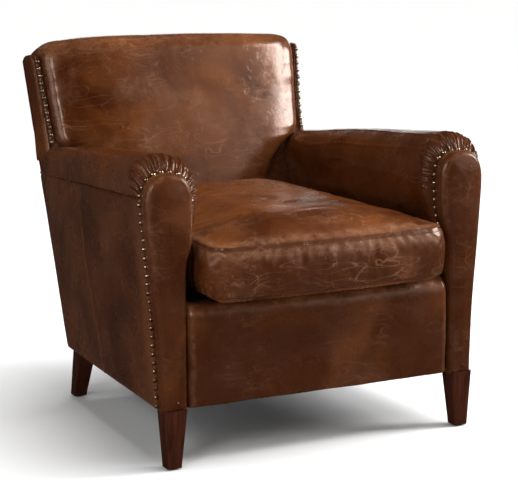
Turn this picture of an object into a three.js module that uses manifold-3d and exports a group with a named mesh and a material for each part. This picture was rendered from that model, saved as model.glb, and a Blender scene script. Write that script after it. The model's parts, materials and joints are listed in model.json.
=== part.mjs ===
// Leather club chair with rolled arms, a raked tight back and a loose seat cushion on a sprung deck.
// Units are millimetres, +Z is up and the sitter faces -Y. The origin is on the floor, under the middle.
import * as THREE from "three";
import { mergeVertices } from "three/addons/utils/BufferGeometryUtils.js";
import Module from "manifold-3d";

const wasm = await Module();
wasm.setup();

// ---- Driving dimensions ----------------------------------------------------------------------
const LEATHER = 2.4; // upholstery hide
const GAP = 0.4; // clearance between neighbouring pieces
const BASE_Z = 124; // underside of the frame
const FRONT_Y = -375; // front plane of the arms
const REAR_Y = 245; // outside of the back at the base
const RAKE = 0.327; // how far the back leans for each millimetre of height

const ARM = {
  inner: 298, // inside face of the arm, from the centre plane
  outer: 366, // outside face at the base
  flare: 27, // how much further out the outside face is at the seam
  seamZ: 552, // seam under the roll
  topZ: 636, // top of the roll at the front
  seamDrop: 42, // how much lower the seam is at the back
  topDrop: 68, // how much lower the roll is at the back
  taperInner: 8, // how much closer in the inside face is at the back
  taperOuter: 36, // the same for the outside face
};
const BACK = {
  half: 342, // half width at the top
  halfLow: 326, // half width just above the arms
  splay: 8, // how much wider it is at its rear face
  cornerY: 182, // front corner above the arms, before the rake
  cornerTopY: 170, // the same at the top
  frameY: 196, // front of the wooden back
  crown: 45, // how far the middle of the back stands proud of its sides
  topZ: 797, // top of the back at its corners
  topCrown: 21, // how much higher the middle of the top is
};
const REAR_PANEL = { half: 331, halfTop: 349, topZ: 769 };
const POST = { inner: 296, outer: 322, depth: 42, topZ: 750 };
const RAIL = { top: 300, thickness: 26, frontY: -364 };
const SEAT = { deckZ: 327, half: 308, apronHalf: 305, apronY: -379, apronTop: 330 };
const CUSHION = {
  half: 268, // at the front
  halfRear: 256,
  frontY: -442, // at the corners
  rearY: 204, // at the underside, where it leans with the back
  bottomZ: 332,
  edgeZ: 454, // top edge
  crown: 40, // how much higher the middle is
  bow: 10, // how far the front bulges between its corners
};
const LEG = { topZ: 123.6, top: 48, foot: 30.5, x: 332, y: -365, footX: 335, footY: -365 };
const REAR_LEG = { topZ: 123.6, top: 42, foot: 29, x: 309, y: 200, footX: 307, footY: 258 };
const GLIDE = { radius: 10, height: 3 };
const BOLT = { radius: 4, bottomZ: 92, topZ: 162, frontY: -359, rearY: 207 };
const WIRE = { radius: 2.1, sway: 22, period: 60 }; // sinuous springs
const SEAT_SPRINGS = [-200, -100, 0, 100, 200];
const BACK_SPRINGS = [-140, 0, 140];

// ---- Materials -------------------------------------------------------------------------------
const material = (color, roughness, metalness = 0) => () =>
  new THREE.MeshStandardMaterial({ color, roughness, metalness });
const hide = material(0x4a2816, 0.38);
const seatHide = material(0x5c3420, 0.4);
const hardwood = material(0xb58a5a, 0.7);
const legWood = material(0x3a120a, 0.3);
const foam = material(0xe8dcb0, 0.95);
const cloth = material(0x1a1a1c, 0.95);
const steel = material(0x8b8d90, 0.35, 1);
const nylon = material(0x15120f, 0.5);

// ---- Solids and geometry ---------------------------------------------------------------------
/** A closed three.js geometry as a manifold solid. */
function solid(geometry) {
  const bare = geometry.index ? geometry.toNonIndexed() : geometry.clone();
  bare.deleteAttribute("normal");
  bare.deleteAttribute("uv");
  const merged = mergeVertices(bare, 1e-3);
  return new wasm.Manifold(
    new wasm.Mesh({
      numProp: 3,
      vertProperties: merged.attributes.position.array,
      triVerts: new Uint32Array(merged.index.array),
    }),
  );
}

/** A manifold solid as a three.js geometry. */
function geometryOf(manifold) {
  const mesh = manifold.getMesh();
  const geometry = new THREE.BufferGeometry();
  geometry.setAttribute("position", new THREE.BufferAttribute(mesh.vertProperties, 3));
  geometry.setIndex(new THREE.BufferAttribute(mesh.triVerts, 1));
  return geometry;
}

/** A geometry less each of the tools. */
function cut(geometry, ...tools) {
  return geometryOf(tools.reduce((left, tool) => left.subtract(solid(tool)), solid(geometry)));
}

const join = (one, other) => geometryOf(solid(one).add(solid(other)));
const common = (one, other) => geometryOf(solid(one).intersect(solid(other)));
const mirrored = (geometry) => geometryOf(solid(geometry).mirror([1, 0, 0]));

/** Moves every vertex by a function that changes a Vector3 in place. */
function warp(geometry, move) {
  const at = geometry.attributes.position;
  const point = new THREE.Vector3();
  for (let i = 0; i < at.count; i++) {
    move(point.fromBufferAttribute(at, i));
    at.setXYZ(i, point.x, point.y, point.z);
  }
  return geometry;
}

function box([x0, x1], [y0, y1], [z0, z1], segments = [1, 1, 1]) {
  return new THREE.BoxGeometry(x1 - x0, y1 - y0, z1 - z0, ...segments).translate(
    (x0 + x1) / 2,
    (y0 + y1) / 2,
    (z0 + z1) / 2,
  );
}

function extrude(outline, depth, steps = 1) {
  const shape = new THREE.Shape(outline);
  return new THREE.ExtrudeGeometry(shape, { depth, steps, bevelEnabled: false });
}

/** An XZ outline drawn out along Y, from 0 at the front to 1 at the back. */
const alongY = (outline, steps) =>
  extrude(outline, 1, steps).rotateX(Math.PI / 2).translate(0, 1, 0);

/** A YZ outline drawn out along X. */
const alongX = (outline, [x0, x1], steps) =>
  extrude(outline, x1 - x0, steps).rotateX(Math.PI / 2).rotateZ(Math.PI / 2).translate(x0, 0, 0);

const upright = (radius, [z0, z1], sides) =>
  new THREE.CylinderGeometry(radius, radius, z1 - z0, sides)
    .rotateX(Math.PI / 2)
    .translate(0, 0, (z0 + z1) / 2);

// ---- Outlines --------------------------------------------------------------------------------
const corners = ([x0, x1], [y0, y1]) => [
  new THREE.Vector2(x0, y0),
  new THREE.Vector2(x1, y0),
  new THREE.Vector2(x1, y1),
  new THREE.Vector2(x0, y1),
];

/** An open path moved sideways, to the right of its direction of travel. */
function offset(path, distance) {
  return path.map((point, i) => {
    const before = path[Math.max(i - 1, 0)];
    const after = path[Math.min(i + 1, path.length - 1)];
    const arriving = new THREE.Vector2().subVectors(point, before).normalize();
    const leaving = new THREE.Vector2().subVectors(after, point).normalize();
    if (i === 0) arriving.copy(leaving);
    if (i === path.length - 1) leaving.copy(arriving);
    const along = new THREE.Vector2().addVectors(arriving, leaving).normalize();
    const spread = distance / Math.max(along.dot(leaving), 0.5);
    return new THREE.Vector2(point.x + along.y * spread, point.y - along.x * spread);
  });
}

/** The outline of the strip between two open paths that run the same way. */
const between = (one, other) => [...one, ...other.slice().reverse()];

/** The arm's section from the foot of its inside face, over the roll, to the seam. */
function armPath(footZ) {
  const { inner, outer, flare, seamZ, topZ } = ARM;
  const path = new THREE.Path();
  path.moveTo(inner, footZ);
  path.lineTo(inner, 402);
  path.bezierCurveTo(inner, 436, 272, 440, 265, 488);
  path.bezierCurveTo(261, 520, 258, 560, 268, 590);
  path.bezierCurveTo(279, 622, 303, topZ, 335, topZ);
  path.bezierCurveTo(368, topZ, 396, 622, 405, 592);
  path.bezierCurveTo(409, 576, 405, 562, outer + flare, seamZ);
  return path.getPoints(5);
}

/** The edge of the wooden arm front, which the padding is built over. */
function boardPath(footZ) {
  const path = new THREE.Path();
  path.moveTo(312, footZ);
  path.lineTo(312, 410);
  path.bezierCurveTo(310, 440, 294, 450, 291, 490);
  path.bezierCurveTo(287, 570, 296, 608, 335, 608);
  path.bezierCurveTo(368, 608, 385, 590, 385, ARM.seamZ);
  return path.getPoints(5);
}

/** The edge of the padded panel that closes the front of the arm. */
function panelPath() {
  const path = new THREE.Path();
  path.moveTo(308, BASE_Z);
  path.lineTo(307, 404);
  path.bezierCurveTo(307, 432, 290, 440, 287, 474);
  path.bezierCurveTo(283, 520, 279, 560, 285, 575);
  path.bezierCurveTo(291, 592, 310, 598, 334, 598);
  path.bezierCurveTo(362, 598, 382, 590, 386, 566);
  path.bezierCurveTo(389, 552, 388, 540, 387, 530);
  path.lineTo(363, BASE_Z);
  return path.getPoints(4);
}

/** The back's section, from behind the cushion, up its face and over the top, before the rake. */
function backPath(footZ) {
  const { cornerY, cornerTopY, topZ } = BACK;
  const path = new THREE.Path();
  path.moveTo(cornerY, footZ);
  path.lineTo(cornerY, 572);
  path.lineTo((cornerY + cornerTopY) / 2, 670);
  path.lineTo(cornerTopY, 760);
  path.bezierCurveTo(cornerTopY - 1, 784, 176, topZ, 194, topZ);
  path.bezierCurveTo(216, topZ, 232, 786, REAR_Y - LEATHER - GAP, 770);
  return path.getPoints(5);
}

// ---- Bending pieces into place ---------------------------------------------------------------
/** Where the back lies at a height, given where it is at the base. */
const raked = (y, z) => y + RAKE * (z - BASE_Z);

const rake = (geometry) => warp(geometry, (p) => p.setY(raked(p.y, p.z)));

/** How much lower the arm's section is at the back, for a point of it at a height. */
function armDrop(z) {
  const { seamDrop, topDrop, seamZ } = ARM;
  const ease = THREE.MathUtils.smoothstep;
  return seamDrop * ease(z, 300, seamZ) + (topDrop - seamDrop) * ease(z, seamZ - 12, 636);
}

/** Bends a point of a straight right arm: the arm narrows and sinks towards the back. */
function bendArm(p) {
  const { inner, outer, taperInner, taperOuter } = ARM;
  const share = (p.y - FRONT_Y) / (REAR_Y - FRONT_Y + 130);
  const across = (p.x - inner) / (outer - inner);
  p.x -= share * THREE.MathUtils.lerp(taperInner, taperOuter, across);
  p.z -= share * armDrop(p.z);
}

/** Stretches a unit-deep arm section from front to raked rear, less the margins, and bends it. */
function placeArm(geometry, frontMargin = 0, rearMargin = 0) {
  return warp(geometry, (p) => {
    const rearY = raked(REAR_Y - rearMargin, p.z - armDrop(p.z));
    p.y = THREE.MathUtils.lerp(FRONT_Y + frontMargin, rearY, p.y);
    bendArm(p);
  });
}

/** Half the width of the back at a height and a distance from the front. */
const backHalf = (y, z) =>
  THREE.MathUtils.mapLinear(z, 600, BACK.topZ, BACK.halfLow, BACK.half) +
  THREE.MathUtils.mapLinear(y, BACK.cornerY, REAR_Y, 0, BACK.splay);

/** Narrows, crowns and rakes a piece of the back that was drawn at its top width, upright. */
function placeBack(geometry) {
  const { half, frameY, crown, topCrown, topZ } = BACK;
  return warp(geometry, (p) => {
    const across = p.x / half;
    const padded = THREE.MathUtils.clamp((frameY - p.y) / 8, 0, 1);
    p.x = across * backHalf(p.y, p.z);
    p.y = raked(p.y - crown * padded * (1 - Math.abs(across) ** 3), p.z);
    p.z += topCrown * (1 - across ** 4) * THREE.MathUtils.smoothstep(p.z, 600, topZ);
  });
}

// ---- Arms ------------------------------------------------------------------------------------
const ARM_STEPS = 4;
const ARM_FOOT = SEAT.deckZ + 6;
const armEdge = armPath(ARM_FOOT);

/** The whole right arm and a little more, to clear its neighbours with. */
function armClearance() {
  const path = offset(armPath(BASE_Z - 40), -GAP);
  const foot = new THREE.Vector2(ARM.outer + GAP, BASE_Z - 40);
  return placeArm(alongY([...path, foot]), -8, -8);
}

/** The room the back's frame takes up inside the arm. */
const backNotch = () =>
  rake(box([200, POST.outer + 2], [BACK.cornerY - 1, REAR_Y + 20], [280, 720]));

function armCover() {
  const sleeve = placeArm(alongY(between(armEdge, offset(armEdge, LEATHER)), ARM_STEPS), 0, 3);
  const flange = alongY(armEdge).scale(1, LEATHER, 1).translate(0, FRONT_Y, 0);
  const frontHole = alongY(offset(panelPath(), 12)).scale(1, 20, 1).translate(0, FRONT_Y - 10, 0);
  return cut(join(sleeve, warp(flange, bendArm)), frontHole, backNotch());
}

function armPad() {
  const outside = offset(armEdge, LEATHER + GAP);
  const inside = offset(boardPath(ARM_FOOT), -GAP);
  const pad = placeArm(alongY(between(outside, inside), ARM_STEPS), LEATHER + GAP, 6);
  return cut(pad, backNotch());
}

function outsideArmPanel() {
  const { outer, flare, seamZ } = ARM;
  const top = seamZ - 1.2;
  const slope = flare / (seamZ - BASE_Z);
  const outline = [BASE_Z, 270, 400, top].map(
    (z) => new THREE.Vector2(outer + slope * (z - BASE_Z), z),
  );
  return placeArm(alongY(between(offset(outline, -LEATHER), outline), ARM_STEPS), LEATHER + GAP, 3);
}

function frontPost() {
  const board = alongY([...boardPath(BASE_Z), new THREE.Vector2(360, BASE_Z)]);
  const post = warp(board, (p) => bendArm(p.setY(FRONT_Y + LEATHER + GAP + 28 * p.y)));
  return cut(post, boltHole(LEG.x, BOLT.frontY));
}

function armFrontPanel() {
  const panel = new THREE.ExtrudeGeometry(new THREE.Shape(panelPath()), {
    depth: 4,
    bevelThickness: 11,
    bevelSize: 14,
    bevelOffset: -14,
    bevelSegments: 3,
  });
  const inFront = box([200, 420], [FRONT_Y - 40, FRONT_Y - GAP], [60, 700]);
  return common(panel.rotateX(Math.PI / 2).translate(0, FRONT_Y, 0), inFront);
}

const armRail = (across, up, frontMargin, rearMargin) =>
  placeArm(alongY(corners(across, up), 2), frontMargin, rearMargin);

// ---- Back ------------------------------------------------------------------------------------
const BACK_STEPS = 10;
const BACK_FOOT = 345;
const insideHalf = BACK.half - LEATHER - 1;

/** What rounds off the back's lower right corner, where it tucks in between seat and arm. */
const cornerTuck = () =>
  alongY([
    ...[
      [212, 300],
      [214, 440],
      [226, 474],
      [250, 510],
      [282, 545],
      [330, 576],
    ].map(([x, z]) => new THREE.Vector2(x, z)),
    new THREE.Vector2(400, 300),
  ]).scale(1, 600, 1);

function insideBackCover(arms) {
  const path = backPath(BACK_FOOT);
  const outline = between(offset(path, LEATHER), path);
  const cover = placeBack(alongX(outline, [-insideHalf, insideHalf], BACK_STEPS));
  const tuck = cornerTuck();
  return cut(cover, ...arms, tuck, mirrored(tuck));
}

function backPad(arms) {
  const half = insideHalf - LEATHER;
  const face = offset(backPath(BACK_FOOT), LEATHER + 1.2).slice(0, -1);
  const core = [
    new THREE.Vector2(232, POST.topZ + 6),
    new THREE.Vector2(BACK.frameY - GAP, POST.topZ + 6),
    new THREE.Vector2(BACK.frameY - GAP, BACK_FOOT),
  ];
  const pad = placeBack(alongX([...face, ...core], [-half, half], BACK_STEPS));
  const tuck = cornerTuck();
  return cut(pad, ...arms, tuck, mirrored(tuck));
}

function backSidePanel(arms) {
  const foot = 540;
  const rearEdge = [769, foot].map((z) => new THREE.Vector2(REAR_Y - LEATHER - 1, z));
  const face = backPath(foot).filter((point) => point.y >= 572).slice(0, -1);
  const front = new THREE.Vector2(BACK.cornerY, foot);
  const panel = alongX([front, ...face, ...rearEdge], [BACK.half - LEATHER, BACK.half]);
  return cut(placeBack(panel), ...arms);
}

function outsideBackPanel() {
  const { half, halfTop, topZ } = REAR_PANEL;
  const panel = rake(box([-1, 1], [REAR_Y - LEATHER, REAR_Y], [BASE_Z, topZ], [8, 1, 4]));
  return warp(panel, (p) => {
    p.z += 0.9 * BACK.topCrown * (1 - p.x ** 4) * THREE.MathUtils.smoothstep(p.z, 600, topZ);
    p.x *= THREE.MathUtils.mapLinear(p.z, BASE_Z, topZ, half, halfTop);
  });
}

function backPost() {
  const { inner, outer, depth, topZ } = POST;
  const post = rake(box([inner, outer], [BACK.frameY, BACK.frameY + depth], [BASE_Z, topZ]));
  return cut(post, boltHole(REAR_LEG.x, BOLT.rearY));
}

const backRail = (deep, up) =>
  rake(box([GAP - POST.inner, POST.inner - GAP], [BACK.frameY, BACK.frameY + deep], up));

// ---- Seat ------------------------------------------------------------------------------------
function apronPath() {
  const { apronY, apronTop } = SEAT;
  const path = new THREE.Path();
  path.moveTo(apronY, BASE_Z);
  path.lineTo(apronY, 296);
  path.bezierCurveTo(apronY, 322, apronY + 8, apronTop, apronY + 26, apronTop);
  path.lineTo(apronY + 48, apronTop - 1);
  return path.getPoints(6);
}

function apronCover() {
  const path = apronPath();
  const half = SEAT.apronHalf;
  return alongX(between(offset(path, LEATHER), path), [-half, half]);
}

function apronPad() {
  const { frontY, top } = RAIL;
  const half = SEAT.apronHalf - 4;
  const face = offset(apronPath(), LEATHER + GAP).slice(0, -1);
  const core = [
    new THREE.Vector2(frontY + 8, top + GAP),
    new THREE.Vector2(frontY - GAP, top + GAP),
    new THREE.Vector2(frontY - GAP, BASE_Z),
  ];
  return alongX([...face, ...core], [-half, half]);
}

/** A seat cushion shape, smaller all round by an inset. */
function cushionBody(inset) {
  const { half, halfRear, frontY, rearY, bottomZ, edgeZ, crown, bow } = CUSHION;
  const body = box([-1, 1], [0, 1], [bottomZ + inset, edgeZ - inset], [8, 8, 3]);
  return warp(body, (p) => {
    const u = p.x;
    const v = 2 * p.y - 1;
    const high = THREE.MathUtils.inverseLerp(bottomZ, edgeZ, p.z);
    const belly = 1 - (2 * high - 1) ** 2;
    const rear = rearY + 0.26 * (p.z - bottomZ) - inset;
    const front = frontY - bow * (1 - u * u) - 6 * belly + inset;
    p.x *= THREE.MathUtils.lerp(half, halfRear, p.y) + 3 * belly - inset;
    p.y = THREE.MathUtils.lerp(front, rear, p.y);
    p.z += (high > 0.9 ? crown : 0) * (1 - u * u) * (1 - v ** 4);
  });
}

/** The cushion's leather, open at the back where the zip closes it. */
function cushionCover() {
  const slot = box([-190, 190], [CUSHION.rearY - 20, CUSHION.rearY + 60], [388, 394]);
  return cut(cushionBody(0), cushionBody(LEATHER), slot);
}

/** A flat zigzag strip in XY from start to end along Y. */
function zigzag(length) {
  const { radius, sway, period } = WIRE;
  const count = Math.round((6 * length) / period);
  const path = Array.from({ length: count + 1 }, (_, i) => {
    const swing = Math.sin((2 * Math.PI * i) / 6 + Math.PI / 6);
    return new THREE.Vector2(sway * swing, (length * i) / count);
  });
  return extrude(between(offset(path, radius), offset(path, -radius)), 2 * radius);
}

function seatSpring(x) {
  const startY = RAIL.frontY + 12;
  const length = raked(BACK.frameY + 14, RAIL.top) - startY;
  return warp(zigzag(length), (p) => {
    const rise = 14 * (1 - (2 * (p.y / length) - 1) ** 2);
    p.set(p.x + x, p.y + startY, p.z + RAIL.top + GAP + rise);
  });
}

function backSpring(x) {
  const [low, high] = [362, 742];
  const length = high - low;
  return warp(zigzag(length), (p) => {
    const behind = 2 * WIRE.radius - p.z;
    const z = low + p.y;
    p.set(p.x + x, raked(BACK.frameY + 31 + behind, z), z);
  });
}

/** A wedge of wood in a corner of the frame; the sides of its right angle are length long. */
function cornerBlock(x, y, length, [z0, z1]) {
  const outline = [
    new THREE.Vector2(x, y),
    new THREE.Vector2(x - Math.abs(length), y),
    new THREE.Vector2(x, y + length),
  ];
  return extrude(outline, z1 - z0).translate(0, 0, z0);
}

/** The dust cover, notched round the tops of the legs. */
function dustCover() {
  const right = [
    [300, -362],
    [300, -335],
    [359, -335],
    [334, 170],
    [282, 170],
    [282, 236],
  ].map(([x, y]) => new THREE.Vector2(x, y));
  const left = right.map(({ x, y }) => new THREE.Vector2(-x, y)).reverse();
  return extrude([...right, ...left], 1).translate(0, 0, BASE_Z - 1.4);
}

// ---- Legs ------------------------------------------------------------------------------------
const boltHole = (x, y) =>
  upright(BOLT.radius + GAP, [BOLT.bottomZ - 1, BOLT.topZ + 1], 10).translate(x, y, 0);

function leg({ topZ, top, foot, x, y, footX, footY }, boltY) {
  const bevel = 0.44;
  const outline = [
    [bevel, 0.5],
    [-bevel, 0.5],
    [-0.5, bevel],
    [-0.5, -bevel],
    [-bevel, -0.5],
    [bevel, -0.5],
    [0.5, -bevel],
    [0.5, bevel],
  ].map(([a, b]) => new THREE.Vector2(a, b));
  const base = GLIDE.height + GAP / 2;
  const body = warp(extrude(outline, topZ - base), (p) => {
    const rise = p.z / (topZ - base);
    const width = THREE.MathUtils.lerp(foot, top, rise);
    p.x = p.x * width + THREE.MathUtils.lerp(footX, x, rise);
    p.y = p.y * width + THREE.MathUtils.lerp(footY, y, rise);
    p.z += base;
  });
  return cut(body, boltHole(x, boltY));
}

const bolt = (x, y) => upright(BOLT.radius, [BOLT.bottomZ, BOLT.topZ], 10).translate(x, y, 0);
const glide = ({ footX, footY }) => upright(GLIDE.radius, [0, GLIDE.height], 12).translate(footX, footY, 0);

// ---- Assembly --------------------------------------------------------------------------------
const chair = new THREE.Group();
chair.name = "worn_club_chair";

function add(name, geometry, paint) {
  geometry.computeVertexNormals();
  const mesh = new THREE.Mesh(geometry, paint());
  mesh.name = name;
  chair.add(mesh);
  return mesh;
}

/** Adds a piece for the right-hand side and its mirror image for the left. */
function addPair(name, geometry, paint) {
  add(name + "_right", geometry, paint);
  add(name + "_left", geometry, paint).scale.x = -1;
}

const rightArm = armClearance();
const arms = [rightArm, mirrored(rightArm)];

addPair("arm_cover", armCover(), hide);
addPair("arm_front_panel", armFrontPanel(), hide);
addPair("outside_arm_panel", outsideArmPanel(), hide);
addPair("arm_pad", armPad(), foam);
addPair("front_post", frontPost(), hardwood);
addPair("side_rail", armRail([336, 362], [BASE_Z, RAIL.top], 31.2, 49.6), hardwood);
addPair("arm_tuck_rail", armRail([314, 334], [336, 366], 31.2, 49.6), hardwood);
addPair("arm_rail", armRail([312, 368], [556, 586], 31.2, 64.6), hardwood);

add("inside_back_cover", insideBackCover(arms), hide);
addPair("back_side_panel", backSidePanel([rightArm]), hide);
add("outside_back_panel", outsideBackPanel(), hide);
add("back_pad", backPad(arms), foam);
addPair("back_post", backPost(), hardwood);
add("top_back_rail", backRail(26, [698, POST.topZ]), hardwood);
add("lower_back_rail", backRail(26, [346, 392]), hardwood);
add("back_rail", backRail(26, [BASE_Z, RAIL.top]), hardwood);
BACK_SPRINGS.forEach((x, i) => add("back_spring_" + (i + 1), backSpring(x), steel));

add("apron_cover", apronCover(), hide);
add("apron_pad", apronPad(), foam);
const frontRail = box([-310.8, 310.8], [RAIL.frontY, RAIL.frontY + RAIL.thickness], [BASE_Z, RAIL.top]);
add("front_rail", frontRail, hardwood);
addPair("front_corner_block", cornerBlock(330, RAIL.frontY + 26.4, 84, [246, 290]), hardwood);
addPair("rear_corner_block", rake(cornerBlock(312, BACK.frameY - GAP, -70, [246, 290])), hardwood);
SEAT_SPRINGS.forEach((x, i) => add("seat_spring_" + (i + 1), seatSpring(x), steel));
add("deck_cover", box([-SEAT.half, SEAT.half], [-330, 244], [SEAT.deckZ - 1.5, SEAT.deckZ]), cloth);
add("dust_cover", dustCover(), cloth);
add("cushion_cover", cushionCover(), seatHide);
add("cushion_core", cushionBody(LEATHER + GAP), foam);

addPair("front_leg", leg(LEG, BOLT.frontY), legWood);
addPair("rear_leg", leg(REAR_LEG, BOLT.rearY), legWood);
addPair("front_leg_bolt", bolt(LEG.x, BOLT.frontY), steel);
addPair("rear_leg_bolt", bolt(REAR_LEG.x, BOLT.rearY), steel);
addPair("front_glide", glide(LEG), nylon);
addPair("rear_glide", glide(REAR_LEG), nylon);

export default chair;
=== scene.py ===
"""A worn leather club chair: rolled arms, nailed arm fronts, a raked tight back and a loose seat cushion.

Lengths are in millimetres until a mesh is made. +Z is up and the sitter faces -Y.
"""

import itertools
import json
import math

import bpy
import numpy as np
from mathutils import Matrix, Vector


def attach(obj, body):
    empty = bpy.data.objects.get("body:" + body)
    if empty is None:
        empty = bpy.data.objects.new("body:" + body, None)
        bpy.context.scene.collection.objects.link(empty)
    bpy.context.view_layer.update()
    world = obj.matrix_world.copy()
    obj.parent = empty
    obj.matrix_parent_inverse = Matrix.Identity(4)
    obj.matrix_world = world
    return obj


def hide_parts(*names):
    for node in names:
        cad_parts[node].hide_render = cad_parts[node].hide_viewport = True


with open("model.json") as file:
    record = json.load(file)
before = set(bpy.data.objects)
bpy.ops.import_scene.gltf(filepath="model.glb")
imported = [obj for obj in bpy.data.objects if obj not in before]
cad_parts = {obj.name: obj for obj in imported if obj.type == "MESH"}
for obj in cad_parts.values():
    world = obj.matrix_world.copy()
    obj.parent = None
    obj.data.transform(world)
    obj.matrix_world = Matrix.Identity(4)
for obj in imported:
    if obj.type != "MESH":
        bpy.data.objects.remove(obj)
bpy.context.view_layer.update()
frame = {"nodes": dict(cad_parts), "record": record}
nodes = frame["nodes"]

MM = 0.001
BASE_Z = 124  # underside of the frame
FRONT_Y = -375  # front plane of the arms
REAR_Y = 245  # outside of the back at the base
RAKE = 0.327  # how far the back leans for each millimetre of height
ARM_INNER = 298  # inside face of the arm, from the centre plane
ARM_MIDDLE = 335  # middle of the arm at its front
ARM_REACH = REAR_Y - FRONT_Y + 130  # depth over which the arm's taper is counted
SEAM_Z = 552  # seam under the roll of the arm
ROLL_Z = 636  # top of the roll
BACK_HALF = 326  # half the width of the back just above the arms
BACK_TOP = 797  # corners of the inside back
REAR_TOP = 769  # top of the outside back
TOP_CROWN = 21  # how much higher the middle of the back's top is
SIDE = {1: "right", -1: "left"}


# ---- Numbers and noise ----
def ease(low, high, x):
    """A smooth rise from 0 to 1 between two values."""
    t = np.clip((x - low) / (high - low), 0, 1)
    return t * t * (3 - 2 * t)


def lerp(a, b, t):
    return a + (b - a) * t


def ramp(x, *pairs):
    """Straight lines through (x, value) pairs."""
    xs, values = zip(*pairs)
    return np.interp(x, xs, values)


def bump(x, middle, width):
    return np.exp(-(((x - middle) / width) ** 2))


def quarter(t):
    """How far a quarter circle has dropped, for t from 0 to 1."""
    return 1 - np.sqrt(1 - t**2 + 1e-6)


def xyz(x, y, z):
    return np.stack(np.broadcast_arrays(x, y, z), -1)


def beside(*grids):
    return np.concatenate(grids, axis=1)


def unit(vectors):
    return vectors / np.maximum(np.linalg.norm(vectors, axis=-1, keepdims=True), 1e-9)


def arc_length(path):
    """The distance along a path at each of its points."""
    return np.concatenate([[0], np.cumsum(np.linalg.norm(np.diff(path, axis=0), axis=1))])


def resample(rows, along, wanted):
    """Rows of numbers, known at distances along a path, at other distances along it."""
    return np.column_stack([np.interp(wanted, along, column) for column in rows.T])


def spline(keys, count):
    """A smooth curve through rows of numbers, sampled evenly along its first two columns."""
    keys = np.array(keys, float)
    padded = np.vstack([2 * keys[0] - keys[1], keys, 2 * keys[-1] - keys[-2]])
    fine = []
    for a, b, c, d in zip(padded, padded[1:], padded[2:], padded[3:]):
        t = np.linspace(0, 1, 24, endpoint=False)[:, None]
        slope, bend, twist = c - a, 2 * a - 5 * b + 4 * c - d, 3 * b - a - 3 * c + d
        fine.append(0.5 * (2 * b + slope * t + bend * t**2 + twist * t**3))
    fine = np.vstack(fine + [keys[-1:]])
    along = arc_length(fine[:, :2])
    return resample(fine, along, np.linspace(0, along[-1], count))


def perlin(points, seed):
    """Smooth noise, about -1 to 1, at an array of points whose last axis is x, y, z."""
    rng = np.random.default_rng(seed)
    gradients = rng.normal(size=(256, 3))
    gradients /= np.linalg.norm(gradients, axis=1)[:, None]
    table = rng.permutation(256)
    points = np.asarray(points, float)
    cell = np.floor(points).astype(int)
    inside = points - cell
    weight = inside**3 * (inside * (inside * 6 - 15) + 10)
    total = 0
    for step in itertools.product((0, 1), repeat=3):
        c = (cell + step) & 255
        index = table[(table[(table[c[..., 0]] + c[..., 1]) & 255] + c[..., 2]) & 255]
        share = np.prod(np.where(step, weight, 1 - weight), axis=-1)
        total = total + share * ((inside - step) * gradients[index]).sum(-1)
    return 1.6 * total


def fractal(points, size, seed, octaves=3):
    return sum(perlin(points / size * 2**i, seed + i) / 2**i for i in range(octaves))


# ---- Meshes ----
def new_object(name, data):
    made = bpy.data.objects.new(name, data)
    bpy.context.collection.objects.link(made)
    return made


def mesh_object(name, points, faces, material, layers=None, smooth=True):
    """A mesh in metres from points in millimetres, with float layers on its points."""
    mesh = bpy.data.meshes.new(name)
    mesh.from_pydata((np.asarray(points, float).reshape(-1, 3) * MM).tolist(), [], faces)
    mesh.validate()
    mesh.polygons.foreach_set("use_smooth", [smooth] * len(mesh.polygons))
    for layer, values in (layers or {}).items():
        attribute = mesh.attributes.new(layer, "FLOAT", "POINT")
        attribute.data.foreach_set("value", np.asarray(values, np.float32).ravel())
    mesh.materials.append(material)
    return new_object(name, mesh)


def grid_faces(rows, columns, flip=False):
    i = np.arange(rows * columns).reshape(rows, columns)
    quads = np.stack([i[:-1, :-1], i[1:, :-1], i[1:, 1:], i[:-1, 1:]], -1).reshape(-1, 4)
    return (quads[:, ::-1] if flip else quads).tolist()


def grid_normals(grid, flip=False):
    along = np.gradient(grid, axis=0)
    across = np.gradient(grid, axis=1)
    return unit(np.cross(across, along) if flip else np.cross(along, across))


def grid_object(name, grid, material, flip=False, layers=None):
    rows, columns = grid.shape[:2]
    return mesh_object(name, grid, grid_faces(rows, columns, flip), material, layers)


def mirror(points, side):
    """Right-hand points for side 1, and their mirror image for side -1."""
    return points * np.array([side, 1, 1])


def hide_object(name, side, grid, flip, wear_and_highlights=0.0, tone_and_shading=0.0):
    """One side's piece of the main hide, from points given for the right-hand side."""
    layers = {key: np.broadcast_to(value, grid.shape[:2]) for key, value in (("wear_and_highlights", wear_and_highlights), ("tone_and_shading", tone_and_shading))}
    return grid_object(name + "_" + SIDE[side], mirror(grid, side), HIDE, flip, layers)


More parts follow.
